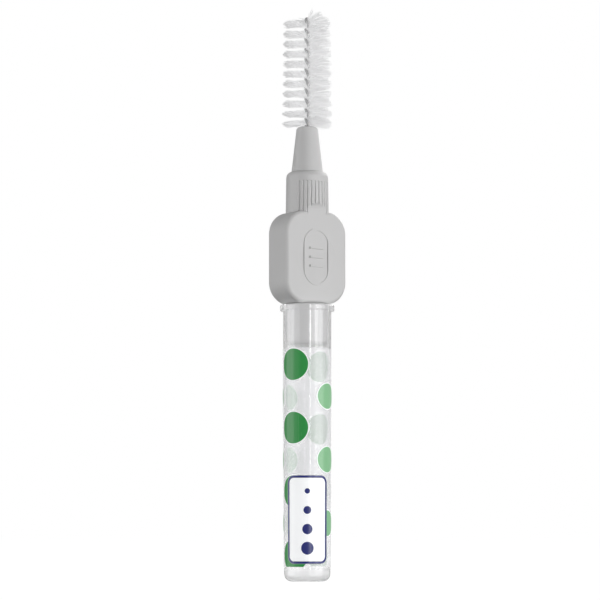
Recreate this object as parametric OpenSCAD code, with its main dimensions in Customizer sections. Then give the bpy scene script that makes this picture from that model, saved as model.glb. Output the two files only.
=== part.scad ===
// Interdental brush: a twisted wire brush set in a short moulded handle,
// with a clear cap pushed on the handle's plug to lengthen it.
// Millimetres. +Z runs along the length towards the brush tip, the origin is
// the centre of the cap's closed end, and the grip's flat faces look along Y.

/* [Cap] */
// Height of the cap from its closed end to the top of its rim
cap_h = 45.5; // [38:0.1:60]
// Outer radius of the cap just above its closed end
cap_base_r = 3.8; // [3.7:0.05:4.1]
// Outer radius of the cap just under its rim
cap_top_r = 4; // [3.9:0.05:4.4]
// Thickness of the cap's wall
cap_wall_t = 0.4; // [0.3:0.05:0.6]
// Depth of the straight seat at the mouth of the bore
seat_h = 7.2; // [7:0.1:10]
// Thickness of the closed end
cap_floor_t = 0.8; // [0.5:0.1:1.5]
// Corner radius round the closed end, outside
cap_corner_r = 1.2; // [0.6:0.1:1.6]
// Corner radius round the closed end, inside
cap_inner_corner_r = 0.8; // [0.3:0.1:1.5]
// Outer radius of the rim
rim_r = 4.5; // [4.45:0.05:5.2]
// Height of the rim
rim_h = 1; // [0.6:0.1:1.6]
// Rounding of the rim's two outer edges
rim_edge_r = 0.2; // [0.1:0.05:0.25]

/* [Cap label] */
// Height of the film's lower edge
label_bottom_z = 2.4; // [2:0.1:8]
// Distance of the film's upper edge below the top of the cap
label_top_drop = 7.3; // [1.5:0.1:12]
// Thickness of the film
label_t = 0.1; // [0.06:0.01:0.2]

/* [Plug] */
// Length of the plug that goes into the cap
plug_h = 6.8; // [5:0.1:6.9]
// Running clearance between the plug and the bore, on the radius
plug_clearance = 0.05; // [0.02:0.01:0.1]
// Taper of the plug from its root to its end, on the radius
plug_taper = 0.12; // [0:0.02:0.3]
// Rounding of the plug's end
plug_end_r = 0.75; // [0.3:0.05:1.2]

/* [Grip] */
// Width of the grip
grip_w = 11.8; // [10:0.1:14]
// Height of the grip
grip_h = 15.4; // [14:0.1:18]
// Thickness of the grip between its flat faces
grip_t = 6; // [5.4:0.1:6.6]
// Corner radius of the grip's outline
grip_corner_r = 3.7; // [2.5:0.1:4.5]
// Rounding of the edges of the flat faces
grip_edge_r = 0.65; // [0.3:0.05:0.9]
// Gap between the cap's rim and the grip at rest
grip_seat_gap = 0.1; // [0.05:0.01:0.2]

/* [Thumb dish] */
// Radius of the dish's outline on the flat face
dish_r = 3.75; // [3:0.05:4.2]
// Depth of the dish at its middle
dish_depth = 0.18; // [0.1:0.01:0.3]
// Length of the raised ring on the front dish
ring_l = 9.4; // [8:0.1:10.4]
// Width of the raised ring
ring_w = 5; // [4:0.1:6]
// Width of the ring's line, and of the bars inside it
ring_line_w = 0.34; // [0.2:0.02:0.5]
// Height of the ring and the bars over the flat face
ring_rise = 0.1; // [0.03:0.01:0.15]
// Number of bars inside the ring
bar_count = 3; // [1:1:5]
// Spacing of the bars
bar_pitch = 1.5; // [1:0.1:1.6]
// Length of a bar
bar_l = 2.6; // [1.6:0.1:3]

/* [Collar] */
// Radius of the collar at the grip
collar_r = 3.58; // [3.4:0.02:3.8]
// Taper of the collar up to its shoulder, on the radius
collar_taper = 0.08; // [0:0.02:0.2]
// Height of the collar
collar_h = 6.8; // [6:0.1:9]
// Radius of the shoulder on top
shoulder_r = 1; // [0.6:0.05:1.1]
// Radius of the hollow that leads from the flat face out to the collar
arch_r = 1.8; // [1.2:0.1:2.4]

/* [Grooves] */
// Number of grooves over each flat face
groove_count = 11; // [6:1:12]
// Angle between neighbouring grooves
groove_pitch_deg = 10.8; // [9:0.1:11.5]
// Width of a groove
groove_w = 0.34; // [0.2:0.02:0.4]
// Depth of a groove
groove_depth = 0.2; // [0.1:0.02:0.3]
// Length of the groove's upper end below the top of the collar
groove_drop = 1.75; // [1.5:0.05:2.5]

/* [Neck] */
// Radius of the neck at the collar
neck_base_r = 2.62; // [2.5:0.02:2.8]
// Radius of the neck at its upper end
neck_top_r = 1.82; // [1.6:0.02:2.2]
// Height of the neck
neck_h = 7.6; // [7:0.1:12]
// Rounding of the neck's upper end
neck_dome_r = 0.6; // [0.3:0.05:0.8]

/* [Twisted wire] */
// Radius of the steel wire
wire_r = 0.16; // [0.12:0.01:0.17]
// Thickness of the plastic coating on the wire
coating_t = 0.05; // [0.04:0.005:0.06]
// Distance of each leg of the wire from the middle of the twist
leg_offset = 0.27; // [0.27:0.01:0.34]
// Length of one full turn of the twist
twist_pitch = 3.38; // [3:0.02:4]
// Direction that the bristles face at the top of the neck
twist_start_deg = 49; // [0:1:180]
// Length of the brush from the neck to the tip of the wire
brush_h = 18.65; // [12:0.05:22]
// Length of the wire that is held in the neck
tail_h = 7; // [4:0.1:7.5]
// Clearance round the twisted wire in its hole
wire_hole_clearance = 0.03; // [0.02:0.01:0.06]
// Depth left under the end of the wire
wire_hole_end_gap = 0.1; // [0.05:0.05:0.3]

/* [Bristles] */
// Radius of the brush at its lower end
brush_low_r = 4.15; // [2.5:0.05:4.5]
// Radius of the brush at its tip
brush_top_r = 3.9; // [2.5:0.05:4.5]
// Number of filaments along the wire, each one reaching out to both sides
filament_count = 180; // [150:1:190]
// Thickness of a filament at its tip
filament_w = 0.09; // [0.06:0.01:0.1]
// Length of bare wire between the neck and the first filament
bare_h = 0.3; // [0.3:0.05:1]
// Half width of the band in which the wire holds the filaments
band_half_w = 0.4; // [0.38:0.01:0.45]
// Half thickness of that band in its middle, between the legs of the wire
band_mid_half_t = 0.018; // [0.01:0.002:0.018]
// Angle through which the filaments fan up and down
fan_deg = 13; // [0:0.5:14]
// Angle through which the last filaments turn up at the tip
splay_deg = 28; // [0:1:30]

/* [Hidden] */
$fn = 96;
// Steps in a quarter round of a turned outline
ARC_STEPS = 8;
// Sides of the wire, and its rings in one turn of the twist and round its end
WIRE_SIDES = 6;
RINGS_PER_TURN = 12;
BEND_STEPS = 8;
// How far cuts run past the faces that they open
overrun = 1;
// How deep the collar and the plug are rooted in the grip
root_h = 1.2;
// Gap that keeps the film off the cap, and the coating off the steel
skin_gap = 0.015;
// Share of a filament's spacing that its root takes
ROOT_SHARE = 0.6;
// Share of the brush's length over which the last filaments turn up
SPLAY_SHARE = 0.08;
// Share by which the filaments that fan the most are shorter than the rest
FAN_TRIM_SHARE = 0.3;
// Share of the fan by which one filament steps on from the last, so that
// neighbours lie far apart in it and all of it is filled evenly
FAN_STEP_SHARE = 0.618;

grip_bottom_z = cap_h + grip_seat_gap;
grip_top_z = grip_bottom_z + grip_h;
grip_mid_z = grip_bottom_z + grip_h / 2;
face_y = grip_t / 2;
neck_base_z = grip_top_z + collar_h;
neck_top_z = neck_base_z + neck_h;
bore_r = cap_top_r - cap_wall_t;
bore_end_r = cap_base_r - cap_wall_t;
label_top_z = cap_h - label_top_drop;
plug_root_r = bore_r - plug_clearance;
coat_r = wire_r + skin_gap + coating_t;
twist_r = leg_offset + coat_r;
tail_z = neck_top_z - tail_h;
bend_z = neck_top_z + brush_h - twist_r;
bristle_z = neck_top_z + bare_h;

// Points of an arc about a centre, from one angle to another
function arc(centre, r, from, to, steps = ARC_STEPS) =
    [for (i = [0:steps]) let (a = from + (to - from) * i / steps) centre + r * [cos(a), sin(a)]];

// Outer radius of the cap's wall at a height
function cap_wall_r(z) =
    cap_base_r + (cap_top_r - cap_base_r) * (z - cap_corner_r) / (cap_h - rim_h - cap_corner_r);

function radial(a) = [cos(a), sin(a), 0];
function unit(v) = v / norm(v);

// Direction that the bristles face at a height, and that of the first leg
// of the wire. The twist is left-handed, so both turn back going up.
function bristle_azimuth(z) = twist_start_deg - 360 * (z - neck_top_z) / twist_pitch;
function leg_azimuth(z) = bristle_azimuth(z) - 90;

// A frame of the wire is its middle, the direction out from the twist's
// middle and the direction across. The first leg climbs (way = 1), the end
// is bent over at the tip, and the second leg comes down (way = -1).
function leg_frame(z, way) =
    let (
        out = way * radial(leg_azimuth(z)),
        lead = 2 * PI * leg_offset / twist_pitch,
        along = way * unit([0, 0, 1] - lead * cross([0, 0, 1], out))
    )
    [[0, 0, z] + leg_offset * out, out, cross(along, out)];
function bend_frame(turn) =
    let (
        side = radial(leg_azimuth(bend_z)),
        out = cos(turn) * side + sin(turn) * [0, 0, 1],
        along = cos(turn) * [0, 0, 1] - sin(turn) * side
    )
    [[0, 0, bend_z] + leg_offset * out, out, cross(along, out)];

leg_rings = ceil((bend_z - tail_z) / twist_pitch * RINGS_PER_TURN);
leg_step = (bend_z - tail_z) / leg_rings;
wire_frames = concat(
    [for (i = [0:leg_rings]) leg_frame(tail_z + i * leg_step, 1)],
    [for (i = [1:BEND_STEPS - 1]) bend_frame(180 * i / BEND_STEPS)],
    [for (i = [leg_rings:-1:0]) leg_frame(tail_z + i * leg_step, -1)]
);

function ring_points(frame, r) =
    [for (k = [0:WIRE_SIDES - 1]) let (a = 360 * k / WIRE_SIDES)
        frame[0] + r * (cos(a) * frame[1] + sin(a) * frame[2])];
function tube_points(r) = [for (f = wire_frames) each ring_points(f, r)];
tube_rings = len(wire_frames);
function tube_at(ring, k) = ring * WIRE_SIDES + k % WIRE_SIDES;

// Faces along a tube, seen from outside
tube_sides = [for (i = [0:tube_rings - 2], k = [0:WIRE_SIDES - 1]) each [
    [tube_at(i, k), tube_at(i + 1, k), tube_at(i + 1, k + 1)],
    [tube_at(i, k), tube_at(i + 1, k + 1), tube_at(i, k + 1)]
]];
function flipped(faces, shift = 0) = [for (f = faces) [f[2] + shift, f[1] + shift, f[0] + shift]];

// Half of the bristle band across its width at a height: its two edges and
// its middle, on the side that turn = 0 or 180 picks
function band_point(z, across, half_t) =
    let (a = bristle_azimuth(z)) [0, 0, z] + across * radial(a) + half_t * radial(a - 90);
function band_row(z) = [
    band_point(z, -band_half_w, filament_w / 2), band_point(z, -band_half_w, -filament_w / 2),
    band_point(z, 0, -band_mid_half_t), band_point(z, band_half_w, -filament_w / 2),
    band_point(z, band_half_w, filament_w / 2), band_point(z, 0, band_mid_half_t)
];
BAND_POINTS = 6;
slot_h = (bend_z - bristle_z) / filament_count;
last_row = 2 * filament_count;
function row_z(row) = bristle_z + slot_h * (floor(row / 2) + (row % 2) * ROOT_SHARE);

// A filament's place in the fan, how far it leans up, and how far it reaches
function fan_share(i) = let (steps = FAN_STEP_SHARE * i) 2 * (steps - floor(steps)) - 1;
function lean_deg(i) =
    fan_deg * fan_share(i)
    + splay_deg * pow(max(0, (i / filament_count - 1 + SPLAY_SHARE) / SPLAY_SHARE), 2);
function reach(i) =
    (brush_low_r + (brush_top_r - brush_low_r) * i / filament_count)
    * (1 - FAN_TRIM_SHARE * pow(fan_share(i), 2));

// The four corners of a filament's tip, in the order of its root on the band
function tip_points(i, way) =
    let (
        z = bristle_z + slot_h * (i + ROOT_SHARE / 2),
        out = way * radial(bristle_azimuth(z)),
        flat = way * radial(bristle_azimuth(z) - 90),
        lean = lean_deg(i),
        up = cos(lean) * [0, 0, 1] - sin(lean) * out,
        middle = [0, 0, z + (reach(i) - band_half_w) * tan(lean)] + reach(i) * out,
        half = filament_w / 2
    )
    [middle - half * (flat + up), middle + half * (flat - up),
     middle + half * (flat + up), middle - half * (flat - up)];
bristle_points = concat(
    [for (row = [0:last_row]) each band_row(row_z(row))],
    [for (i = [0:filament_count - 1], way = [1, -1]) each tip_points(i, way)]
);
function band_at(row, k) = row * BAND_POINTS + k % BAND_POINTS;
function tip_at(i, side, k) = (last_row + 1) * BAND_POINTS + (2 * i + side) * 4 + k % 4;

// The band's faces, without the places that filaments grow from
function quad(a, b, c, d) = [[a, b, c], [a, c, d]];
function band_faces(row, k) =
    quad(band_at(row, k), band_at(row + 1, k), band_at(row + 1, k + 1), band_at(row, k + 1));
band_flats = [for (row = [0:last_row - 1], k = [1, 2, 4, 5]) each band_faces(row, k)];
band_gaps = [for (row = [1:2:last_row - 1], k = [0, 3]) each band_faces(row, k)];

// One filament on one side: its four sides from the root to the tip, and the tip
function filament_faces(i, side) =
    let (
        k = side == 0 ? 3 : 0,
        root = [band_at(2 * i, k), band_at(2 * i, k + 1),
                band_at(2 * i + 1, k + 1), band_at(2 * i + 1, k)],
        tip = [for (m = [0:3]) tip_at(i, side, m)]
    )
    concat(
        [for (m = [0:3]) each quad(root[m], tip[m], tip[(m + 1) % 4], root[(m + 1) % 4])],
        quad(tip[3], tip[2], tip[1], tip[0])
    );
filaments = [for (i = [0:filament_count - 1], side = [0, 1]) each filament_faces(i, side)];

// A quarter of the grip's corner, turned about the middle of the corner
module grip_corner() {
    rotate_extrude(angle = 90) grip_edge_outline();
}

// Section of the grip's edge, from the middle of the corner outwards
module grip_edge_outline() {
    edge_x = grip_corner_r - grip_edge_r;
    polygon(concat(
        [[0, -face_y]],
        arc([edge_x, grip_edge_r - face_y], grip_edge_r, -90, 0),
        arc([edge_x, face_y - grip_edge_r], grip_edge_r, 0, 90),
        [[0, face_y]]
    ));
}

// The grip's body, standing on its lower face
module grip_body() {
    straight_w = grip_w - 2 * grip_corner_r;
    straight_h = grip_h - 2 * grip_corner_r;
    translate([0, 0, grip_mid_z]) rotate([90, 0, 0]) {
        translate([-straight_w / 2, -straight_h / 2, -face_y]) cube([straight_w, straight_h, grip_t]);
        for (turn = [0, 90, 180, 270]) {
            across = turn % 180 == 0 ? straight_w : straight_h;
            along = turn % 180 == 0 ? straight_h : straight_w;
            rotate([0, 0, turn]) translate([across / 2, along / 2, 0]) {
                grip_corner();
                rotate([90, 0, 0]) linear_extrude(along) grip_edge_outline();
            }
        }
    }
}

// The shallow dish that is ground out of a flat face
module dish_cut() {
    ball_r = (dish_r * dish_r + dish_depth * dish_depth) / (2 * dish_depth);
    translate([0, face_y - dish_depth + ball_r, grip_mid_z]) sphere(ball_r);
}

// Raised ring and bars that stand on the front dish, flat on top
module ring_and_bars() {
    end_r = ring_w / 2;
    translate([0, -face_y + dish_depth + overrun, grip_mid_z]) rotate([90, 0, 0])
        linear_extrude(dish_depth + overrun + ring_rise) {
            difference() {
                stadium(ring_l, end_r);
                stadium(ring_l - 2 * ring_line_w, end_r - ring_line_w);
            }
            for (i = [0:bar_count - 1])
                translate([0, (i - (bar_count - 1) / 2) * bar_pitch])
                    square([bar_l, ring_line_w], center = true);
        }
}

// An upright shape with round ends
module stadium(length, end_r) {
    square([2 * end_r, length - 2 * end_r], center = true);
    for (way = [-1, 1]) translate([0, way * (length / 2 - end_r)]) circle(end_r);
}

// Cuts the collar or the plug back to the flat face, with a hollow that
// leads out to the round wall beyond the grip's end
module arch_cut() {
    deep = collar_r + arch_r;
    for (turn = [0, 180]) rotate([0, 0, turn])
        translate([-deep, 0, 0]) rotate([90, 0, 90]) linear_extrude(2 * deep)
            polygon(concat(
                [[face_y, -root_h - overrun]],
                arc([face_y + arch_r, 0], arch_r, 180, 90),
                [[deep + arch_r, arch_r], [deep + arch_r, -root_h - overrun]]
            ));
}

// Collar: turned, cut back to the flat faces, and grooved over both of them
module collar_body() {
    top_r = collar_r - collar_taper;
    translate([0, 0, grip_top_z]) difference() {
        rotate_extrude() polygon(concat(
            [[0, -root_h], [collar_r, -root_h], [collar_r, 0]],
            arc([top_r - shoulder_r, collar_h - shoulder_r], shoulder_r, 0, 90),
            [[0, collar_h]]
        ));
        arch_cut();
        for (face = [-90, 90], i = [0:groove_count - 1])
            rotate([0, 0, face + (i - (groove_count - 1) / 2) * groove_pitch_deg])
                groove_cut();
    }
}

// One groove of the collar, pointed at its upper end
module groove_cut() {
    length = collar_h - groove_drop;
    r = groove_w / 2;
    translate([collar_r - groove_depth + r, 0, 0]) rotate_extrude()
        polygon([[0, -root_h - overrun], [r, -root_h - overrun], [r, length - r], [0, length]]);
}

module neck_body() {
    translate([0, 0, neck_base_z]) rotate_extrude() polygon(concat(
        [[0, -shoulder_r], [neck_base_r, -shoulder_r], [neck_base_r, 0]],
        arc([neck_top_r - neck_dome_r, neck_h - neck_dome_r], neck_dome_r, 0, 90),
        [[0, neck_h]]
    ));
}

module plug_body() {
    end_r = plug_root_r - plug_taper;
    translate([0, 0, grip_bottom_z]) rotate_extrude() polygon(concat(
        [[0, -plug_h]],
        arc([end_r - plug_end_r, plug_end_r - plug_h], plug_end_r, -90, 0),
        [[plug_root_r, 0], [0, 0]]
    ));
}

// Handle: grip, collar, neck and plug in one moulding
module handle() {
    color([0.74, 0.74, 0.75]) difference() {
        union() {
            difference() {
                union() {
                    grip_body();
                    collar_body();
                    neck_body();
                    plug_body();
                }
                for (turn = [0, 180]) rotate([0, 0, turn]) dish_cut();
            }
            ring_and_bars();
        }
        translate([0, 0, tail_z - wire_hole_end_gap])
            cylinder(r = twist_r + wire_hole_clearance, h = tail_h + wire_hole_end_gap + overrun);
    }
}

// Core wire: one steel wire bent double at the tip and twisted on itself
module core_wire() {
    last = tube_rings - 1;
    color([0.55, 0.56, 0.58]) polyhedron(
        tube_points(wire_r),
        concat(
            tube_sides,
            [for (k = [1:WIRE_SIDES - 2]) [0, k, k + 1]],
            [for (k = [1:WIRE_SIDES - 2]) [tube_at(last, 0), tube_at(last, k + 1), tube_at(last, k)]]
        )
    );
}

// Wire coating: a plastic sleeve drawn over the whole wire, open at its ends
module wire_coating() {
    last = tube_rings - 1;
    inner = tube_rings * WIRE_SIDES;
    color([0.8, 0.8, 0.82]) polyhedron(
        concat(tube_points(coat_r), tube_points(wire_r + skin_gap)),
        concat(
            tube_sides,
            flipped(tube_sides, inner),
            [for (k = [0:WIRE_SIDES - 1])
                each quad(tube_at(0, k), tube_at(0, k + 1), inner + tube_at(0, k + 1), inner + tube_at(0, k))],
            [for (k = [0:WIRE_SIDES - 1])
                each quad(inner + tube_at(last, k), inner + tube_at(last, k + 1),
                          tube_at(last, k + 1), tube_at(last, k))]
        )
    );
}

// Bristles: filaments on both sides of the band that the twist pinches
module bristles() {
    color([0.95, 0.95, 0.96]) polyhedron(
        bristle_points,
        concat(
            band_flats,
            band_gaps,
            filaments,
            [for (k = [1:BAND_POINTS - 2]) [0, k, k + 1]],
            [for (k = [1:BAND_POINTS - 2])
                [band_at(last_row, 0), band_at(last_row, k + 1), band_at(last_row, k)]]
        )
    );
}

// Cap: a clear tube with a closed end and a rim, which takes the plug
module cap() {
    inner_corner = [bore_end_r - cap_inner_corner_r, cap_floor_t + cap_inner_corner_r];
    color([0.85, 0.9, 0.92, 0.4]) rotate_extrude() polygon(concat(
        [[0, 0]],
        arc([cap_base_r - cap_corner_r, cap_corner_r], cap_corner_r, -90, 0),
        [[cap_top_r, cap_h - rim_h]],
        arc([rim_r - rim_edge_r, cap_h - rim_h + rim_edge_r], rim_edge_r, -90, 0),
        arc([rim_r - rim_edge_r, cap_h - rim_edge_r], rim_edge_r, 0, 90),
        [[bore_r, cap_h], [bore_r, cap_h - seat_h]],
        arc(inner_corner, cap_inner_corner_r, 0, -90),
        [[0, cap_floor_t]]
    ));
}

// Cap label: a printed film wrapped round the cap
module cap_label() {
    low_r = cap_wall_r(label_bottom_z) + skin_gap;
    high_r = cap_wall_r(label_top_z) + skin_gap;
    color([0.9, 0.95, 0.92, 0.7]) rotate_extrude() polygon([
        [low_r, label_bottom_z], [low_r + label_t, label_bottom_z],
        [high_r + label_t, label_top_z], [high_r, label_top_z]
    ]);
}

handle();
core_wire();
wire_coating();
bristles();
cap();
cap_label();
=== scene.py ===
"""Interdental brush: its finishes and its fine parts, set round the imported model.

The classes hold sizes in millimetres, apart from those of the camera and the lights, which are in
metres. Meshes are built in metres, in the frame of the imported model: +Z runs along the length
towards the brush tip, and the grip's flat faces look along Y. The clear cap and its film make one
moving body, and the handle with the brush the other.
"""

from __future__ import annotations

import logging
import math
from dataclasses import dataclass, field
from enum import Enum

import bpy
import numpy as np
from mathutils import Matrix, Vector

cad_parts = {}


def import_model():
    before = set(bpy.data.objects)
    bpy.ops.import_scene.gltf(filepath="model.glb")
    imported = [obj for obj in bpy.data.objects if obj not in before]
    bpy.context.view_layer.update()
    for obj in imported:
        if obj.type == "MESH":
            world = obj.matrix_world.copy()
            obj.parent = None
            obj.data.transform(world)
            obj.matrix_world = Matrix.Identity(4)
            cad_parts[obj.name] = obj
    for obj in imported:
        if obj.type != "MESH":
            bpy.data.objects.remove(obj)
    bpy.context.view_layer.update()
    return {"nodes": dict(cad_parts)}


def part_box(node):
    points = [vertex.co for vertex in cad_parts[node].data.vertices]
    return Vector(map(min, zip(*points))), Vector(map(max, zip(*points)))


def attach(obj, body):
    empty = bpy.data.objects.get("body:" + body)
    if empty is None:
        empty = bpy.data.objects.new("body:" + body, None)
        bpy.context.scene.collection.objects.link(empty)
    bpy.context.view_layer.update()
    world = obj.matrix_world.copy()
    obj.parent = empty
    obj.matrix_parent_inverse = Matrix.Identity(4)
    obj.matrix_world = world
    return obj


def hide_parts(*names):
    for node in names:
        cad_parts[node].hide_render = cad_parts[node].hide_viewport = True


Socket = bpy.types.NodeSocket
Profile = list[tuple[float, float]]
WireFrame = tuple[Vector, Vector, Vector]
Colour = tuple[float, float, float]
Paint = tuple[float, float, float, float]

LOG = logging.getLogger("interdental_brush")
MM = 0.001
UP = Vector((0.0, 0.0, 1.0))
WHITE: Paint = (1.0, 1.0, 1.0, 1.0)
GOLDEN_SHARE = (math.sqrt(5) - 1) / 2


class Body(str, Enum):
    """The two bodies that slide apart when the cap is pulled off."""

    CAP = "cap_body"
    BRUSH = "brush_body"


class Slot(str, Enum):
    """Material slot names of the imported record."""

    COATING = "coating_plastic"
    NYLON = "bristle_nylon"
    CAP = "cap_plastic"
    FILM = "label_film"


def radial(degrees: float) -> Vector:
    """Unit vector that points out from the Z axis at an angle."""
    angle = math.radians(degrees)
    return Vector((math.cos(angle), math.sin(angle), 0.0))


def arc(centre: tuple[float, float], r: float, start: float, end: float,
        steps: int = 10) -> Profile:
    """Points of an arc, ends included.

    Args:
        centre: The middle of the arc, as a radius and a height.
        r: The arc's radius.
        start: First angle in degrees.
        end: Last angle in degrees.
        steps: Number of chords.

    Returns:
        Pairs of radius and height.
    """
    angles = [math.radians(start + (end - start) * i / steps) for i in range(steps + 1)]
    return [(centre[0] + r * math.cos(a), centre[1] + r * math.sin(a)) for a in angles]


class Shell:
    """A mesh that is put together in millimetres and built as one piece."""

    def __init__(self, name: str) -> None:
        """Starts an empty mesh under a piece's name."""
        self.name = name
        self.points: list[tuple[float, float, float]] = []
        self.faces: list[tuple[int, ...]] = []

    def revolve(self, profile: Profile, segments: int) -> None:
        """Turns a profile about the Z axis.

        Args:
            profile: Pairs of radius and height. The solid lies on the left of the line. A point of
                radius zero becomes a single vertex, and a line that starts off the axis is closed.
            segments: Number of steps round the axis.
        """
        rings = []
        for r, z in profile:
            start = len(self.points)
            count = segments if r > 0 else 1
            for i in range(count):
                side = radial(360 * i / segments)
                self.points.append((r * side.x, r * side.y, z))
            rings.append([start + i % count for i in range(segments)])
        closed = profile[0][0] > 0
        following = rings[1:] + rings[:1] if closed else rings[1:]
        for low, high in zip(rings, following):
            for i in range(segments):
                j = (i + 1) % segments
                corners = [low[i], low[j], high[j], high[i]]
                face = tuple(c for k, c in enumerate(corners) if c != corners[k - 1])
                if len(face) > 2:
                    self.faces.append(face)

    def sweep(self, frames: list[WireFrame], r: float, sides: int) -> None:
        """Draws a round tube along frames and closes both of its ends.

        Args:
            frames: For each ring its middle and two unit vectors across the tube.
            r: The tube's radius.
            sides: Number of sides of the tube.
        """
        start = len(self.points)
        angles = [2 * math.pi * k / sides for k in range(sides)]
        for middle, out, across in frames:
            for a in angles:
                spoke = math.cos(a) * out + math.sin(a) * across
                self.points.append(tuple(middle + r * spoke))
        for ring in range(len(frames) - 1):
            low = start + ring * sides
            for k in range(sides):
                j = (k + 1) % sides
                self.faces.append((low + k, low + j, low + sides + j, low + sides + k))
        last = start + (len(frames) - 1) * sides
        self.faces.append(tuple(start + k for k in reversed(range(sides))))
        self.faces.append(tuple(last + k for k in range(sides)))

    def build(self, sharp_deg: float = 40.0) -> bpy.types.Object:
        """Makes the Blender object in metres.

        Args:
            sharp_deg: Edges that bend by more than this stay sharp.

        Returns:
            The linked object.
        """
        mesh = bpy.data.meshes.new(self.name)
        mesh.from_pydata([tuple(c * MM for c in p) for p in self.points], [], self.faces)
        return link_piece(self.name, mesh, sharp_deg)


def link_piece(name: str, mesh: bpy.types.Mesh, sharp_deg: float) -> bpy.types.Object:
    """Links a mesh as an object and shades it.

    Args:
        name: The piece's name.
        mesh: Its mesh, in metres.
        sharp_deg: Edges that bend by more than this stay sharp.

    Returns:
        The linked object.
    """
    mesh.validate()
    smooth_by_angle(mesh, sharp_deg)
    piece = bpy.data.objects.new(name, mesh)
    bpy.context.scene.collection.objects.link(piece)
    return piece


def smooth_by_angle(mesh: bpy.types.Mesh, sharp_deg: float) -> None:
    """Shades a mesh smooth.

    Args:
        mesh: The mesh.
        sharp_deg: Edges that bend by more than this stay sharp.
    """
    mesh.polygons.foreach_set("use_smooth", [True] * len(mesh.polygons))
    mesh.set_sharp_from_angle(angle=math.radians(sharp_deg))
    mesh.update()


def dress(thing: bpy.types.Object, material: bpy.types.Material) -> None:
    """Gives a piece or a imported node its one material, and reports it.

    Args:
        thing: The piece or node.
        material: Its material.
    """
    thing.data.materials.clear()
    thing.data.materials.append(material)
    LOG.info("%s: %d faces in %s", thing.name, len(thing.data.polygons), material.name)


def place(piece: bpy.types.Object, body: Body, material: bpy.types.Material,
          stands_for: str) -> None:
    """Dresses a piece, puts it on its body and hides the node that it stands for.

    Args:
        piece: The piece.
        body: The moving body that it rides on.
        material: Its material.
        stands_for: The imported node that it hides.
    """
    dress(piece, material)
    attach(piece, body.value)
    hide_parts(stands_for)


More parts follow.
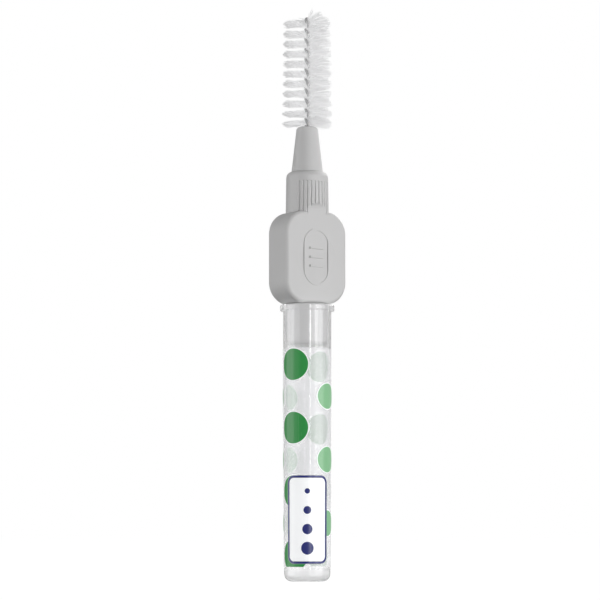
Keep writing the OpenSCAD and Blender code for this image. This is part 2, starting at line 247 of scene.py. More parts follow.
class Graph:
    """A short way to write down a node tree."""

    def __init__(self, tree: bpy.types.NodeTree) -> None:
        """Keeps the tree that the nodes are added to."""
        self.tree = tree

    def add(self, kind: str, **settings: object) -> bpy.types.Node:
        """Adds a node.

        Args:
            kind: Its type's name.
            **settings: Values of its own properties.

        Returns:
            The node.
        """
        node = self.tree.nodes.new(kind)
        for name, value in settings.items():
            setattr(node, name, value)
        return node

    def put(self, socket: Socket, value: object) -> None:
        """Fills one input.

        Args:
            socket: The input.
            value: An output to link to it, or a plain value to set it to.
        """
        if isinstance(value, Socket):
            self.tree.links.new(value, socket)
        else:
            socket.default_value = value

    def feed(self, node: bpy.types.Node, **inputs: object) -> bpy.types.Node:
        """Fills a node's inputs by name.

        Args:
            node: The node.
            **inputs: An output or a value for each, with _ for each space of the socket's name.

        Returns:
            The same node.
        """
        for name, value in inputs.items():
            self.put(node.inputs[name.replace("_", " ")], value)
        return node

    def fill(self, node: bpy.types.Node, values: tuple[object, ...]) -> bpy.types.Node:
        """Fills a node's inputs in their order.

        Args:
            node: The node.
            values: Outputs or values, as many as are needed.

        Returns:
            The same node.
        """
        for socket, value in zip(node.inputs, values):
            self.put(socket, value)
        return node

    def math(self, operation: str, *values: object) -> Socket:
        """Output of one Math node, with its inputs in order."""
        return self.fill(self.add("ShaderNodeMath", operation=operation), values).outputs[0]

    def vector(self, operation: str, *values: object) -> bpy.types.Node:
        """One Vector Math node, with its inputs in order."""
        return self.fill(self.add("ShaderNodeVectorMath", operation=operation), values)

    def length(self, across: Socket, up: Socket) -> Socket:
        """Length of a flat vector.

        Args:
            across: Its first coordinate.
            up: Its second coordinate.

        Returns:
            The square root of the sum of their squares.
        """
        squares = [self.math("MULTIPLY", way, way) for way in (across, up)]
        return self.math("SQRT", self.math("ADD", *squares))

    def remap(self, value: Socket, low: float, high: float, to_low: float,
              to_high: float) -> Socket:
        """A clamped change of range from low..high to to_low..to_high."""
        node = self.add("ShaderNodeMapRange", clamp=True)
        return self.fill(node, (value, low, high, to_low, to_high)).outputs["Result"]

    def mix(self, share: Socket, first: object, second: object) -> Socket:
        """A mix of two colours.

        Args:
            share: The second colour's share, from 0 to 1.
            first: The first colour, an output or a value.
            second: The second colour, an output or a value.

        Returns:
            The mixed colour.
        """
        node = self.add("ShaderNodeMix", data_type="RGBA")
        self.put(node.inputs["Factor"], share)
        colours = [socket for socket in node.inputs if socket.type == "RGBA"]
        self.put(colours[0], first)
        self.put(colours[1], second)
        return next(socket for socket in node.outputs if socket.type == "RGBA")

    def noise(self, vector: Socket, per_mm: Socket, detail: float,
              roughness: float = 0.5) -> Socket:
        """Noise from 0 to 1.

        Args:
            vector: Where it is read, in metres.
            per_mm: Its cells per millimetre.
            detail: Number of finer layers.
            roughness: How much the finer layers show.

        Returns:
            The noise.
        """
        scale = self.math("MULTIPLY", per_mm, 1 / MM)
        node = self.add("ShaderNodeTexNoise", noise_dimensions="3D")
        self.feed(node, Vector=vector, Scale=scale, Detail=detail, Roughness=roughness)
        return node.outputs["Fac"]

    def group(self, name: str, **inputs: object) -> bpy.types.Node:
        """Places a shared node group and fills its inputs by name."""
        node = self.add("ShaderNodeGroup", node_tree=bpy.data.node_groups[name])
        return self.feed(node, **inputs)

    def surface_place(self) -> Socket:
        """Place on the surface in the piece's own frame, in metres."""
        return self.add("ShaderNodeTexCoord").outputs["Object"]

    def height_of(self, where: Socket) -> Socket:
        """Height of a place over the cap's closed end."""
        return self.feed(self.add("ShaderNodeSeparateXYZ"), Vector=where).outputs["Z"]

    def tinted(self, colour: object, shade: Socket) -> Socket:
        """A colour multiplied by a value that changes over the surface.

        Args:
            colour: The colour, an output or a value.
            shade: The value.

        Returns:
            The colour that results.
        """
        node = self.vector("SCALE", colour)
        self.put(node.inputs["Scale"], shade)
        return node.outputs["Vector"]

    def bump(self, height: Socket, depth_mm: float) -> Socket:
        """A normal that makes a surface look rough.

        Args:
            height: Height of the roughness, from 0 to 1.
            depth_mm: The depth in millimetres that a height of 1 stands for.

        Returns:
            The normal.
        """
        node = self.add("ShaderNodeBump")
        self.feed(node, Strength=1.0, Distance=depth_mm * MM, Height=height)
        return node.outputs["Normal"]


class SharedEffect:
    """Base of the shader groups that more than one finish uses."""

    NAME: str = ""
    INPUTS: dict[str, float] = {}
    OUTPUTS: tuple[str, ...] = ()

    def __init__(self) -> None:
        """Builds the group with its named sockets."""
        tree = bpy.data.node_groups.new(self.NAME, "ShaderNodeTree")
        for name, value in self.INPUTS.items():
            socket = tree.interface.new_socket(name, in_out="INPUT", socket_type="NodeSocketFloat")
            socket.default_value = value
        for name in self.OUTPUTS:
            tree.interface.new_socket(name, in_out="OUTPUT", socket_type="NodeSocketFloat")
        graph = Graph(tree)
        inputs = graph.add("NodeGroupInput").outputs
        results = self.wire(graph, inputs, graph.surface_place())
        end = graph.add("NodeGroupOutput")
        for name, value in results.items():
            graph.put(end.inputs[name], value)

    def wire(self, graph: Graph, inputs: bpy.types.NodeOutputs, where: Socket) -> dict[str, Socket]:
        """Draws the effect's nodes.

        Args:
            graph: The group's tree.
            inputs: The group's inputs by name.
            where: Place on the surface.

        Returns:
            The group's outputs by name.
        """
        raise NotImplementedError


class MouldingGrain(SharedEffect):
    """The fine eroded texture of a mould, with the slow changes of tone where plastic flowed."""

    NAME = "moulding_grain"
    INPUTS = {"Grain per mm": 9.0, "Flow per mm": 0.12, "Tone": 0.03, "Roughness": 0.5,
              "Spread": 0.05}
    OUTPUTS = ("Shade", "Roughness", "Height")
    FLOW_SHARE = 0.75

    def wire(self, graph: Graph, inputs: bpy.types.NodeOutputs, where: Socket) -> dict[str, Socket]:
        """Draws fine grain and slow flow.

        Args:
            graph: The group's tree.
            inputs: The group's inputs by name.
            where: Place on the surface.

        Returns:
            Shade round 1, roughness, and the grain's height from 0 to 1.
        """
        grain = graph.noise(where, inputs["Grain per mm"], detail=3.0, roughness=0.6)
        flow = graph.noise(where, inputs["Flow per mm"], detail=1.5)
        both = graph.math("ADD", graph.math("MULTIPLY", flow, self.FLOW_SHARE),
                          graph.math("MULTIPLY", grain, 1 - self.FLOW_SHARE))
        centred = graph.math("SUBTRACT", both, 0.5)
        shade = graph.math("MULTIPLY_ADD", centred, inputs["Tone"], 1.0)
        rough = graph.math("MULTIPLY_ADD", centred, inputs["Spread"], inputs["Roughness"])
        return {"Shade": shade, "Roughness": rough, "Height": grain}


class HandlingMarks(SharedEffect):
    """Hairline scuffs along the length from packing and fingers, sparse and in short patches."""

    NAME = "handling_marks"
    INPUTS = {"Lines per mm": 3.0, "Patches per mm": 0.25, "Amount": 0.5}
    OUTPUTS = ("Mask",)
    DRAWN_OUT: Colour = (1.0, 1.0, 0.08)
    LINE_RANGE: tuple[float, float] = (0.60, 0.72)
    PATCH_RANGE: tuple[float, float] = (0.48, 0.66)

    def wire(self, graph: Graph, inputs: bpy.types.NodeOutputs, where: Socket) -> dict[str, Socket]:
        """Draws drawn-out noise where a second, slower noise lets it show.

        Args:
            graph: The group's tree.
            inputs: The group's inputs by name.
            where: Place on the surface.

        Returns:
            The mask, 0 away from the marks.
        """
        drawn_out = graph.vector("MULTIPLY", where, self.DRAWN_OUT).outputs["Vector"]
        lines = graph.noise(drawn_out, inputs["Lines per mm"], detail=2.0, roughness=0.7)
        patches = graph.noise(where, inputs["Patches per mm"], detail=1.0)
        fine = graph.remap(lines, *self.LINE_RANGE, 0.0, 1.0)
        there = graph.remap(patches, *self.PATCH_RANGE, 0.0, 1.0)
        shown = graph.math("MULTIPLY", fine, there)
        return {"Mask": graph.math("MULTIPLY", shown, inputs["Amount"])}


def new_material(name: str) -> tuple[bpy.types.Material, Graph, bpy.types.Node]:
    """A material with one Principled shader.

    Args:
        name: The material's name.

    Returns:
        The material, its graph and that shader.
    """
    material = bpy.data.materials.new(name)
    material.use_nodes = True
    return material, Graph(material.node_tree), material.node_tree.nodes["Principled BSDF"]


@dataclass(frozen=True)
class SatinMoulding:
    """Light grey polypropylene with a satin skin. Marks are rougher and a little paler."""

    colour: Colour = (0.565, 0.563, 0.563)
    roughness: float = 0.42
    grain_mm: float = 0.004
    mark_shade: float = 0.35
    scatter_mm: float = 0.4

    def material(self) -> bpy.types.Material:
        """Draws the nodes.

        Returns:
            The handle's material.
        """
        material, graph, shader = new_material("satin_grey_moulding")
        grain = graph.group(MouldingGrain.NAME, Roughness=self.roughness, Tone=0.05,
                            Spread=0.12).outputs
        marks = graph.group(HandlingMarks.NAME, Amount=0.10).outputs["Mask"]
        shade = graph.math("MULTIPLY_ADD", marks, self.mark_shade, grain["Shade"])
        graph.feed(shader, Base_Color=graph.tinted(self.colour, shade),
                   Roughness=graph.math("ADD", grain["Roughness"], marks),
                   Normal=graph.bump(grain["Height"], self.grain_mm), IOR=1.49,
                   Subsurface_Weight=0.15, Subsurface_Scale=self.scatter_mm * MM,
                   Subsurface_Radius=(1.0, 1.0, 1.0))
        return material


@dataclass(frozen=True)
class DrawnSteel:
    """Bright stainless wire with a fine grain."""

    colour: Colour = (0.5, 0.51, 0.53)
    roughness: float = 0.28
    grain_mm: float = 0.001

    def material(self) -> bpy.types.Material:
        """Draws the nodes.

        Returns:
            The core wire's material.
        """
        material, graph, shader = new_material("drawn_steel")
        grain = graph.group(MouldingGrain.NAME, Grain_per_mm=30.0, Roughness=self.roughness,
                            Tone=0.1, Spread=0.1).outputs
        graph.feed(shader, Base_Color=graph.tinted(self.colour, grain["Shade"]),
                   Roughness=grain["Roughness"], Metallic=1.0,
                   Normal=graph.bump(grain["Height"], self.grain_mm))
        return material


@dataclass(frozen=True)
class WireSleeve:
    """Thin glossy sleeve in the mid grey of the steel that shows through it."""

    colour: Colour = (0.42, 0.42, 0.425)
    roughness: float = 0.3
    grain_mm: float = 0.002

    def material(self) -> bpy.types.Material:
        """Draws the nodes.

        Returns:
            The wire coating's material.
        """
        material, graph, shader = new_material("wire_sleeve")
        grain = graph.group(MouldingGrain.NAME, Grain_per_mm=14.0, Roughness=self.roughness,
                            Tone=0.12).outputs
        graph.feed(shader, Base_Color=graph.tinted(self.colour, grain["Shade"]),
                   Roughness=grain["Roughness"], Coat_Weight=1.0, Coat_Roughness=0.08,
                   Normal=graph.bump(grain["Height"], self.grain_mm))
        return material


@dataclass(frozen=True)
class WhiteNylon:
    """White nylon filament with little gloss.

    Light that goes through a real filament lights the ones behind it. A faint glow stands for that.
    """

    colour: Colour = (0.88, 0.88, 0.885)
    roughness: float = 0.5
    glow: float = 0.13

    def material(self) -> bpy.types.Material:
        """Draws the nodes.

        Returns:
            The bristles' material.
        """
        material, graph, shader = new_material("white_nylon_filament")
        grain = graph.group(MouldingGrain.NAME, Grain_per_mm=5.0, Roughness=self.roughness,
                            Tone=0.06, Spread=0.1).outputs
        graph.feed(shader, Base_Color=graph.tinted(self.colour, grain["Shade"]),
                   Roughness=grain["Roughness"], IOR=1.4, Specular_IOR_Level=0.2,
                   Emission_Color=WHITE, Emission_Strength=self.glow)
        return material


@dataclass(frozen=True)
class ClearMoulding:
    """Clear polypropylene: see-through, with the mould's polish.

    The closed end is rougher, which makes it milky: fully up to base_low, and less and less up to
    base_high. The glow stands for light that is scattered inside, and the low index of refraction
    keeps the film's print in sight near the edges.
    """

    colour: Colour = (0.84, 0.84, 0.845)
    roughness: float = 0.12
    grain_mm: float = 0.003
    base_roughness: float = 0.35
    base_low: float = 1.2
    base_high: float = 2.6
    glow: float = 0.055

    def material(self) -> bpy.types.Material:
        """Draws the nodes.

        Returns:
            The cap's material.
        """
        material, graph, shader = new_material("clear_cap_moulding")
        grain = graph.group(MouldingGrain.NAME, Grain_per_mm=1.5, Roughness=self.roughness,
                            Tone=0.02, Spread=0.06).outputs
        marks = graph.group(HandlingMarks.NAME, Amount=0.12).outputs["Mask"]
        base = graph.remap(graph.height_of(graph.surface_place()), self.base_low * MM,
                           self.base_high * MM, self.base_roughness, 0.0)
        wall = graph.math("ADD", grain["Roughness"], marks)
        graph.feed(shader, Base_Color=graph.tinted(self.colour, grain["Shade"]),
                   Roughness=graph.math("ADD", wall, base),
                   Normal=graph.bump(grain["Height"], self.grain_mm),
                   Transmission_Weight=1.0, IOR=1.2, Coat_Weight=1.0, Coat_Roughness=0.03,
                   Emission_Color=WHITE, Emission_Strength=self.glow)
        return material


@dataclass(frozen=True)
class PrintedFilm:
    """Milky film with a plain print: rows of green dots and a white panel with a navy line.

    The print is worked out in millimetres along the film's round (u) and its height (v), with u = 0
    on the line that the panel is centred on. Columns of dark and of pale dots take turns, and the
    pale ones stand half a row higher. A glow stands for the light that comes through the film.
    """

    radius: float = 4.0
    panel_azimuth: float = -122.0
    column_deg: float = 90.0
    column_turn: float = 35.0
    row_pitch: float = 10.4
    row_start: float = -0.9
    dark_r: float = 2.6
    pale_r: float = 2.1
    halo_w: float = 0.14
    panel_z: float = 10.1
    panel_w: float = 7.4
    panel_h: float = 14.4
    panel_corner: float = 1.3
    line_w: float = 0.42
    spot_pitch: float = 3.1
    spot_r: float = 1.05
    spot_step: float = 0.2
    spots: int = 4
    edge_mm: float = 0.04
    grain_mm: float = 0.002
    roughness: float = 0.24
    ink_alpha: float = 0.97
    ground_alpha: float = 0.2
    ground_spread: float = 2.0
    glow: float = 0.25
    milky: Paint = (0.94, 0.94, 0.96, 1.0)
    dark_green: Paint = (0.017, 0.22, 0.043, 1.0)
    pale_green: Paint = (0.21, 0.45, 0.24, 1.0)
    navy: Paint = (0.01, 0.016, 0.13, 1.0)
    white: Paint = (0.92, 0.93, 0.94, 1.0)

    def inside(self, graph: Graph, distance: Socket) -> Socket:
        """1 where a signed distance in millimetres is below zero, with a fine soft edge."""
        return graph.remap(distance, -self.edge_mm, self.edge_mm, 1.0, 0.0)

    def place_on_film(self, graph: Graph) -> tuple[Socket, Socket, Socket]:
        """Finds the place on the film.

        Args:
            graph: The material's graph.

        Returns:
            The angle from the panel's middle in degrees, the way along the round, and the height.
        """
        here = graph.surface_place()
        front = radial(self.panel_azimuth)
        side = UP.cross(front)
        ahead = graph.vector("DOT_PRODUCT", here, tuple(front)).outputs["Value"]
        across = graph.vector("DOT_PRODUCT", here, tuple(side)).outputs["Value"]
        degrees = graph.math("DEGREES", graph.math("ARCTAN2", across, ahead))
        u = graph.math("MULTIPLY", degrees, math.radians(1.0) * self.radius)
        return degrees, u, graph.math("DIVIDE", graph.height_of(here), MM)

    def dots(self, graph: Graph, degrees: Socket, v: Socket) -> tuple[Socket, Socket]:
        """Lays out the dots.

        Args:
            graph: The material's graph.
            degrees: Angle from the panel's middle.
            v: Height on the film.

        Returns:
            Distance to the nearest dot's rim, and 1 in the columns whose dots are pale.
        """
        turned = graph.math("ADD", degrees, 180.0 + self.column_turn + self.column_deg / 2)
        column = graph.math("DIVIDE", graph.math("MODULO", turned, 360.0), self.column_deg)
        index = graph.math("FLOOR", column)
        pale = graph.math("MODULO", index, 2.0)
        across = graph.math("SUBTRACT", graph.math("SUBTRACT", column, index), 0.5)
        du = graph.math("MULTIPLY", across, math.radians(self.column_deg) * self.radius)
        row = graph.math("DIVIDE", graph.math("SUBTRACT", v, self.row_start), self.row_pitch)
        row = graph.math("FRACT", graph.math("SUBTRACT", row, graph.math("MULTIPLY", pale, 0.5)))
        dv = graph.math("MULTIPLY", graph.math("SUBTRACT", row, 0.5), self.row_pitch)
        r = graph.math("MULTIPLY_ADD", pale, self.pale_r - self.dark_r, self.dark_r)
        return graph.math("SUBTRACT", graph.length(du, dv), r), pale

    def panel(self, graph: Graph, u: Socket, v: Socket) -> Socket:
        """Lays out the upright panel with round corners.

        Args:
            graph: The material's graph.
            u: Way along the film's round.
            v: Height on the film.

        Returns:
            Distance to the panel's rim, below zero inside.
        """
        gaps = []
        over = graph.math("SUBTRACT", v, self.panel_z)
        for along, size in ((u, self.panel_w), (over, self.panel_h)):
            straight = size / 2 - self.panel_corner
            gaps.append(graph.math("SUBTRACT", graph.math("ABSOLUTE", along), straight))
        corner = graph.length(*(graph.math("MAXIMUM", gap, 0.0) for gap in gaps))
        flat = graph.math("MINIMUM", graph.math("MAXIMUM", *gaps), 0.0)
        return graph.math("SUBTRACT", graph.math("ADD", corner, flat), self.panel_corner)

    def panel_line(self, graph: Graph, panel_gap: Socket) -> Socket:
        """1 on the line that runs just inside the panel's rim, from the distance to that rim."""
        from_middle = graph.math("ABSOLUTE", graph.math("ADD", panel_gap, self.line_w / 2))
        return self.inside(graph, graph.math("SUBTRACT", from_middle, self.line_w / 2))

    def panel_spots(self, graph: Graph, u: Socket, v: Socket) -> Socket:
        """Lays out the plain spots up the middle of the panel, each smaller than the one below.

        Args:
            graph: The material's graph.
            u: Way along the film's round.
            v: Height on the film.

        Returns:
            Distance to the nearest spot's rim.
        """
        nearest: Socket | None = None
        for i in range(self.spots):
            z = self.panel_z + (i - (self.spots - 1) / 2) * self.spot_pitch
            away = graph.length(u, graph.math("SUBTRACT", v, z))
            gap = graph.math("SUBTRACT", away, self.spot_r - i * self.spot_step)
            nearest = gap if nearest is None else graph.math("MINIMUM", nearest, gap)
        return nearest

    def material(self) -> bpy.types.Material:
        """Draws the nodes.

        Returns:
            The film's material: its print over the milky ground.
        """
        material, graph, shader = new_material("printed_film")
        degrees, u, v = self.place_on_film(graph)
        dot_gap, pale = self.dots(graph, degrees, v)
        panel_gap = self.panel(graph, u, v)
        dot = self.inside(graph, dot_gap)
        halo = self.inside(graph, graph.math("SUBTRACT", dot_gap, self.halo_w))
        panel = self.inside(graph, panel_gap)
        line = self.panel_line(graph, panel_gap)
        spot = self.inside(graph, self.panel_spots(graph, u, v))

        grain = graph.group(MouldingGrain.NAME, Grain_per_mm=2.5, Flow_per_mm=0.3,
                            Roughness=self.roughness, Tone=0.08, Spread=0.1).outputs
        marks = graph.group(HandlingMarks.NAME, Amount=0.1).outputs["Mask"]
        colour = graph.mix(halo, self.milky, self.white)
        colour = graph.mix(dot, colour, graph.mix(pale, self.dark_green, self.pale_green))
        colour = graph.mix(panel, colour, self.white)
        colour = graph.mix(graph.math("MAXIMUM", line, spot), colour, self.navy)
        shaded = graph.tinted(colour, grain["Shade"])
        ink = graph.math("MULTIPLY", graph.math("MAXIMUM", halo, panel), self.ink_alpha)
        ground = graph.math("MULTIPLY_ADD", graph.math("SUBTRACT", grain["Shade"], 1.0),
                            self.ground_spread, self.ground_alpha)
        graph.feed(shader, Base_Color=shaded, Alpha=graph.math("MAXIMUM", ink, ground),
                   Roughness=graph.math("ADD", grain["Roughness"], marks),
                   Normal=graph.bump(grain["Height"], self.grain_mm), IOR=1.5,
                   Emission_Color=shaded, Emission_Strength=self.glow)
        return material


@dataclass(frozen=True)
class FloorWhite:
    """The studio floor's even white.

    It glows as brightly as the surroundings and takes little from the lights.
    """

    colour: Paint = (0.04, 0.04, 0.04, 1.0)
    glow: float = 1.0

    def material(self) -> bpy.types.Material:
        """Draws the nodes.

        Returns:
            The floor's material.
        """
        material, graph, shader = new_material("studio_floor")
        graph.feed(shader, Base_Color=self.colour, Roughness=1.0, Specular_IOR_Level=0.0,
                   Emission_Color=WHITE, Emission_Strength=self.glow)
        return material


@dataclass
class Handle:
    """The grey handle: grip, collar, neck and plug in one moulding."""

    finish: SatinMoulding = field(default_factory=SatinMoulding)
    sharp_deg: float = 32.0

    def dress_node(self, node: bpy.types.Object) -> None:
        """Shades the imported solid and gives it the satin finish."""
        smooth_by_angle(node.data, self.sharp_deg)
        dress(node, self.finish.material())


@dataclass
class TwistedWire:
    """The wire of the brush: bent double at the tip, twisted left-handed and coated."""

    neck_top_z: float = 75.4
    leg_offset: float = 0.27
    coat_r: float = 0.225
    pitch: float = 3.38
    start_deg: float = 49.0
    brush_h: float = 18.65
    tail_h: float = 7.0
    sides: int = 16
    rings_per_turn: int = 40
    bend_steps: int = 14
    sharp_deg: float = 50.0

    @property
    def bend_z(self) -> float:
        """Height at which the wire starts to bend over."""
        return self.neck_top_z + self.brush_h - self.leg_offset - self.coat_r

    def bristle_azimuth(self, z: float | np.ndarray) -> float | np.ndarray:
        """Direction in degrees that the bristles face at a height."""
        return self.start_deg - 360 * (z - self.neck_top_z) / self.pitch

    def leg_frame(self, z: float, way: int) -> WireFrame:
        """Frame of a leg of the wire.

        Args:
            z: Its height.
            way: 1 for the leg that climbs, -1 for the one that comes down.

        Returns:
            The wire's middle, the direction out from the axis, and the one across both.
        """
        out = way * radial(self.bristle_azimuth(z) - 90)
        lead = 2 * math.pi * self.leg_offset / self.pitch
        along = way * (UP - lead * UP.cross(out)).normalized()
        return z * UP + self.leg_offset * out, out, along.cross(out)

    def bend_frame(self, turn: float) -> WireFrame:
        """Frame of the bend at the tip.

        Args:
            turn: How far round the bend it lies, from 0 to 180 degrees.

        Returns:
            The wire's middle, the direction out from the bend's middle, and the one across both.
        """
        side = radial(self.bristle_azimuth(self.bend_z) - 90)
        cosine, sine = math.cos(math.radians(turn)), math.sin(math.radians(turn))
        out = cosine * side + sine * UP
        along = cosine * UP - sine * side
        return self.bend_z * UP + self.leg_offset * out, out, along.cross(out)

    def frames(self) -> list[WireFrame]:
        """Lays out the whole wire.

        Returns:
            Its frames, from one end in the neck over the tip to the other end.
        """
        low = self.neck_top_z - self.tail_h
        count = math.ceil((self.bend_z - low) / self.pitch * self.rings_per_turn)
        heights = [low + (self.bend_z - low) * i / count for i in range(count + 1)]
        climb = [self.leg_frame(z, 1) for z in heights]
        bend = [self.bend_frame(180 * i / self.bend_steps) for i in range(1, self.bend_steps)]
        return climb + bend + [self.leg_frame(z, -1) for z in reversed(heights)]

    def make(self, steel_node: bpy.types.Object) -> None:
        """Builds the coated wire.

        Args:
            steel_node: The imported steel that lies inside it, which only gets its finish.
        """
        dress(steel_node, DrawnSteel().material())
        shell = Shell("wire_sleeve")
        shell.sweep(self.frames(), self.coat_r, self.sides)
        place(shell.build(self.sharp_deg), Body.BRUSH, WireSleeve().material(),
              "wire_coating")


@dataclass
class Bristles:
    """The nylon filaments that the twisted wire holds, trimmed to a slim taper.

    A filament leaves the wire between its two legs, leaning towards one of them as the twist drags
    it, and bends up or down into the fan. The further it bends, the shorter it is, so that each
    half turn of filaments has the shape of a lens. Steps of the golden section fill the fan, most
    of all near its middle. Along the wire the filaments gather where they leave it to one side, as
    they do when a flat bundle is twisted in.

    RINGS says where a filament's rings lie: 0 is the middle of the wire, 1 where the filament comes
    out of it, and 2 the filament's tip.
    """

    RINGS = (0.0, 1.0, 1.1, 1.22, 1.38, 1.6, 2.0)
    SLOT_RANGE = (0.1, 0.9)

    wire: TwistedWire
    count: int = 1800
    filament_r: float = 0.03
    sides: int = 6
    low_r: float = 4.3
    top_r: float = 4.08
    bare_h: float = 0.3
    exit_r: float = 0.34
    pinch_half_w: float = 0.04
    lean_deg: float = -26.0
    gather: float = 0.15
    gather_z: float = 75.94
    gather_steps: int = 2000
    low_fan_h: float = 0.56
    top_fan_h: float = 0.68
    fan_full_at: float = 0.8
    fan_power: float = 1.2
    fan_middle: float = 1.35
    low_trim: float = 0.2
    top_trim: float = 0.1
    reach_spread: float = 0.075
    side_deg: float = 4.0
    bow: float = 0.05
    splay_h: float = 0.8
    splay_deg: float = 12.0
    sharp_deg: float = 60.0
    seed: int = 7

    def root_heights(self, share: np.ndarray) -> np.ndarray:
        """Spreads the filaments along the wire.

        Args:
            share: Each filament's place in the row, from 0 to 1.

        Returns:
            Their heights, gathered round gather_z and every half turn from there.
        """
        heights = np.linspace(self.wire.neck_top_z + self.bare_h, self.wire.bend_z,
                              self.gather_steps)
        half_turns = 2 * np.pi * (heights - self.gather_z) / (self.wire.pitch / 2)
        filled = np.cumsum(1 + self.gather * np.cos(half_turns))
        return np.interp(share, (filled - filled[0]) / (filled[-1] - filled[0]), heights)

    def paths(self) -> np.ndarray:
        """Draws the middle lines of all filaments, one to each side in turn.

        Returns:
            An array of filaments, rings and coordinates.
        """
        rng = np.random.RandomState(self.seed)
        total = 2 * self.count
        number = np.arange(total)
        share = (number // 2 + rng.uniform(*self.SLOT_RANGE, total)) / self.count
        z = self.root_heights(share)
        step = 2 * np.modf(number * GOLDEN_SHARE)[0] - 1
        fan = np.sign(step) * np.abs(step) ** self.fan_middle
        fan_h = self.low_fan_h + (self.top_fan_h - self.low_fan_h) * share
        trim = self.low_trim + (self.top_trim - self.low_trim) * share
        reach = (self.low_r + (self.top_r - self.low_r) * share) * (1 - trim * fan ** 2)
        reach *= 1 - np.abs(rng.normal(0, self.reach_spread, total))
        near_tip = np.clip((z - self.wire.bend_z + self.splay_h) / self.splay_h, 0, 1)
        splay = np.radians(self.splay_deg) * near_tip ** 2
        facing = np.radians(self.wire.bristle_azimuth(z) + 180 * (number % 2))
        swing = facing + np.radians(self.lean_deg + rng.normal(0, self.side_deg, total))
        across = rng.uniform(-self.pinch_half_w, self.pinch_half_w, total)
        bow = rng.normal(0, self.bow, total)
        lines = []
        for ring in self.RINGS:
            free = max(ring - 1, 0)
            out = min(ring, 1) * self.exit_r + free * (reach * np.cos(splay) - self.exit_r)
            bend = 1 - max(1 - free / self.fan_full_at, 0) ** self.fan_power
            lift = fan_h * fan * bend + reach * np.sin(splay) * free + bow * free ** 2
            angle = facing if ring <= 1 else swing
            x = out * np.cos(angle) - across * np.sin(facing)
            y = out * np.sin(angle) + across * np.cos(facing)
            lines.append(np.stack([x, y, z + lift], axis=1))
        return np.stack(lines, axis=1)

    def mesh(self) -> bpy.types.Mesh:
        """Draws a slim tube with closed ends along each middle line.

        Returns:
            One mesh of all filaments, in metres.
        """
        lines = self.paths()
        total, rings, _ = lines.shape
        way = lines[:, -1] - lines[:, 1]
        way /= np.linalg.norm(way, axis=1, keepdims=True)
        flat = np.cross(way, np.array(UP))
        flat /= np.linalg.norm(flat, axis=1, keepdims=True)
        tall = np.cross(flat, way)
        angles = 2 * np.pi * np.arange(self.sides) / self.sides
        spokes = (np.cos(angles)[None, :, None] * flat[:, None]
                  + np.sin(angles)[None, :, None] * tall[:, None])
        points = lines[:, :, None] + self.filament_r * spokes[:, None]
        index = np.arange(total * rings * self.sides).reshape(total, rings, self.sides)
        turned = np.roll(index, -1, axis=2)
        walls = np.stack([index[:, :-1], turned[:, :-1], turned[:, 1:], index[:, 1:]], axis=-1)
        faces = walls.reshape(-1, 4).tolist()
        faces += index[:, -1].tolist() + index[:, 0, ::-1].tolist()
        mesh = bpy.data.meshes.new("nylon_filaments")
        mesh.from_pydata((points.reshape(-1, 3) * MM).tolist(), [], faces)
        return mesh

    def make(self) -> None:
        """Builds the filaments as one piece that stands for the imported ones."""
        piece = link_piece("nylon_filaments", self.mesh(), self.sharp_deg)
        place(piece, Body.BRUSH, WhiteNylon().material(), "bristles")


@dataclass
class Cap:
    """The clear cap: a long tube with a closed end, a seat for the plug and a rim."""

    height: float = 45.5
    base_r: float = 3.8
    top_r: float = 4.0
    wall_t: float = 0.4
    seat_h: float = 7.2
    floor_t: float = 0.8
    corner_r: float = 1.2
    inner_corner_r: float = 0.8
    rim_r: float = 4.5
    rim_h: float = 1.0
    rim_edge_r: float = 0.2
    rim_steps: int = 6
    segments: int = 144

    def wall_r(self, z: float) -> float:
        """Outer radius of the wall at a height."""
        straight = self.height - self.rim_h - self.corner_r
        return self.base_r + (self.top_r - self.base_r) * (z - self.corner_r) / straight

    def profile(self) -> Profile:
        """Draws the tube's section.

        Returns:
            Its outline, from the middle of the base round to the middle of the floor.
        """
        bore, bore_end = self.top_r - self.wall_t, self.base_r - self.wall_t
        rim_x = self.rim_r - self.rim_edge_r
        rim_low, rim_high = self.height - self.rim_h, self.height
        edge, steps = self.rim_edge_r, self.rim_steps
        inner = (bore_end - self.inner_corner_r, self.floor_t + self.inner_corner_r)
        return [
            (0.0, 0.0),
            *arc((self.base_r - self.corner_r, self.corner_r), self.corner_r, -90, 0),
            (self.top_r, rim_low),
            *arc((rim_x, rim_low + edge), edge, -90, 0, steps),
            *arc((rim_x, rim_high - edge), edge, 0, 90, steps),
            (bore, self.height),
            (bore, self.height - self.seat_h),
            *arc(inner, self.inner_corner_r, 0, -90),
            (0.0, self.floor_t),
        ]

    def make(self) -> None:
        """Builds the tube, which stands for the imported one."""
        shell = Shell("clear_cap")
        shell.revolve(self.profile(), self.segments)
        place(shell.build(), Body.CAP, ClearMoulding().material(), "cap")


@dataclass
class Film:
    """The printed film wrapped round the cap."""

    cap: Cap
    thickness: float = 0.1
    gap: float = 0.015

    def make(self) -> None:
        """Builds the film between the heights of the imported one, which it stands for."""
        low, high = (corner.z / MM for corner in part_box("cap_label"))
        low_r, high_r = self.cap.wall_r(low) + self.gap, self.cap.wall_r(high) + self.gap
        shell = Shell("printed_film")
        shell.revolve([(low_r, low), (low_r + self.thickness, low),
                       (high_r + self.thickness, high), (high_r, high)], self.cap.segments)
        place(shell.build(), Body.CAP, PrintedFilm().material(), "cap_label")


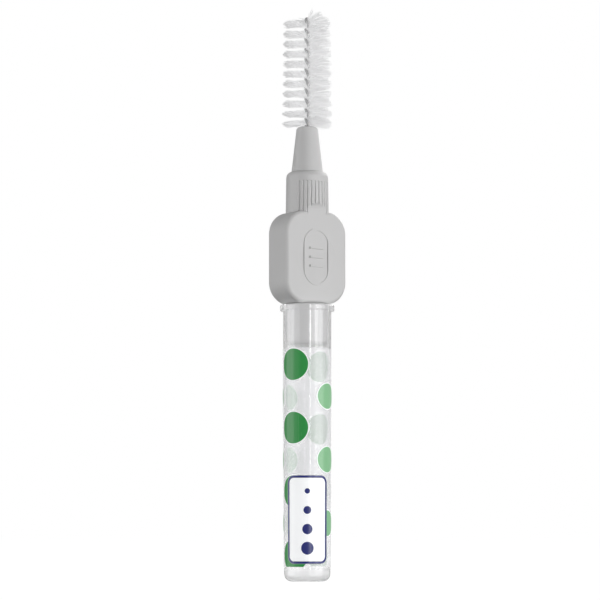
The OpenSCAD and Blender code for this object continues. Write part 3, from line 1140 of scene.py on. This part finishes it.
@dataclass(frozen=True)
class PhotoCamera:
    """The camera at the photograph's angle.

    Its places are in metres, and frame_px and axis_x_px are in the photograph's pixels. The azimuth
    is the angle in degrees from the grip's front face, and axis_x_px is where the object's own axis
    stands in the picture.
    """

    azimuth: float = -32.0
    distance: float = 0.4
    height: float = 0.009
    aim_height: float = 0.0464
    nearest: float = 0.01
    frame_px: float = 600.0
    px_per_mm: float = 6.024
    axis_x_px: float = 307.2

    @property
    def side_deg(self) -> float:
        """Direction from the object to the camera, in degrees from +X."""
        return self.azimuth - 90.0

    def make(self) -> Vector:
        """Sets the scene's camera.

        Returns:
            The point that it aims at.
        """
        px = MM / self.px_per_mm
        toward = radial(self.side_deg)
        right = UP.cross(toward)
        aim = UP * self.aim_height - right * ((self.axis_x_px - self.frame_px / 2) * px)
        data = bpy.data.cameras.new("photo_camera")
        camera = bpy.data.objects.new("photo_camera", data)
        camera.location = aim + toward * self.distance + UP * (self.height - aim.z)
        way = camera.location - aim
        data.lens = data.sensor_width * way.length / (self.frame_px * px)
        data.clip_start = self.nearest
        camera.rotation_euler = way.to_track_quat("Z", "Y").to_euler()
        bpy.context.scene.collection.objects.link(camera)
        bpy.context.scene.camera = camera
        return aim


@dataclass(frozen=True)
class SoftBox:
    """A rectangular studio light that faces the object's middle, with its sizes in metres.

    The azimuth is the angle in degrees from the camera, to the camera's right.
    """

    name: str
    azimuth: float
    elevation: float
    distance: float
    width: float
    height: float
    watts: float

    def make(self, target: Vector, camera_deg: float) -> None:
        """Hangs the light.

        Args:
            target: The point that it faces.
            camera_deg: Direction from the object to the camera, in degrees from +X.
        """
        light = bpy.data.lights.new(self.name, "AREA")
        light.shape = "RECTANGLE"
        light.size, light.size_y = self.width, self.height
        light.energy = self.watts
        lamp = bpy.data.objects.new(self.name, light)
        way = radial(camera_deg + self.azimuth) * math.cos(math.radians(self.elevation))
        way = way + UP * math.sin(math.radians(self.elevation))
        lamp.location = target + self.distance * way
        lamp.rotation_euler = way.to_track_quat("Z", "Y").to_euler()
        bpy.context.scene.collection.objects.link(lamp)


@dataclass
class Studio:
    """Plain pale floor, white surroundings and soft lights.

    The floor's sizes are in millimetres. The surroundings have a brightness of 1 where the camera
    sees them, ambient where they light the object and mirrored where they mirror in it.
    """

    floor_half: float = 1500.0
    floor_drop: float = 0.02
    ambient: float = 0.02
    mirrored: float = 0.5
    lights: tuple[SoftBox, ...] = (
        SoftBox("right_front", 30, 0, 0.6, 0.5, 0.5, 1.15),
        SoftBox("right_side", 60, 0, 0.6, 0.5, 0.5, 2.05),
        SoftBox("right_back", 135, 40, 0.6, 0.5, 0.5, 1.8),
        SoftBox("left_front", -60, 0, 0.6, 0.5, 0.5, 0.55),
        SoftBox("left_side", -90, 0, 0.6, 0.5, 0.5, 1.4),
        SoftBox("left_high", -90, 40, 0.6, 0.5, 0.5, 0.5),
        SoftBox("front_low", 0, -35, 0.6, 0.5, 0.5, 0.45),
        SoftBox("strip", 15, 2, 0.7, 0.04, 0.5, 0.5),
    )

    def world(self) -> None:
        """White behind the object, and dimmer for the light and the mirroring."""
        world = bpy.data.worlds.new("studio_surroundings")
        bpy.context.scene.world = world
        world.use_nodes = True
        graph = Graph(world.node_tree)
        ray = graph.add("ShaderNodeLightPath").outputs
        lit = graph.math("MULTIPLY_ADD", ray["Is Diffuse Ray"], self.ambient - 1.0, 1.0)
        strength = graph.math("MULTIPLY_ADD", ray["Is Glossy Ray"], self.mirrored - 1.0, lit)
        graph.feed(world.node_tree.nodes["Background"], Color=WHITE, Strength=strength)

    def floor(self) -> None:
        """A pale floor that the object stands on, which throws no light up at it."""
        half, z = self.floor_half, -self.floor_drop
        shell = Shell("studio_floor")
        shell.points = [(-half, -half, z), (half, -half, z), (half, half, z), (-half, half, z)]
        shell.faces = [(0, 1, 2, 3)]
        piece = shell.build()
        dress(piece, FloorWhite().material())
        piece.visible_diffuse = False
        piece.visible_glossy = False
        piece.visible_shadow = False

    def make(self) -> None:
        """Sets camera, surroundings, floor, lights and the way that colour is shown."""
        camera = PhotoCamera()
        target = camera.make()
        self.world()
        self.floor()
        for light in self.lights:
            light.make(target, camera.side_deg)
        bpy.context.scene.view_settings.view_transform = "Standard"


def main() -> None:
    """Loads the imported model, then builds and dresses the brush and its studio."""
    logging.basicConfig(level=logging.INFO, format="%(name)s: %(message)s")
    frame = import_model()
    nodes = frame["nodes"]
    Studio().make()
    for effect in (MouldingGrain, HandlingMarks):
        effect()
    Handle().dress_node(nodes["handle"])
    wire = TwistedWire()
    wire.make(nodes["core_wire"])
    Bristles(wire).make()
    cap = Cap()
    cap.make()
    Film(cap).make()


if __name__ == "__main__":
    main()
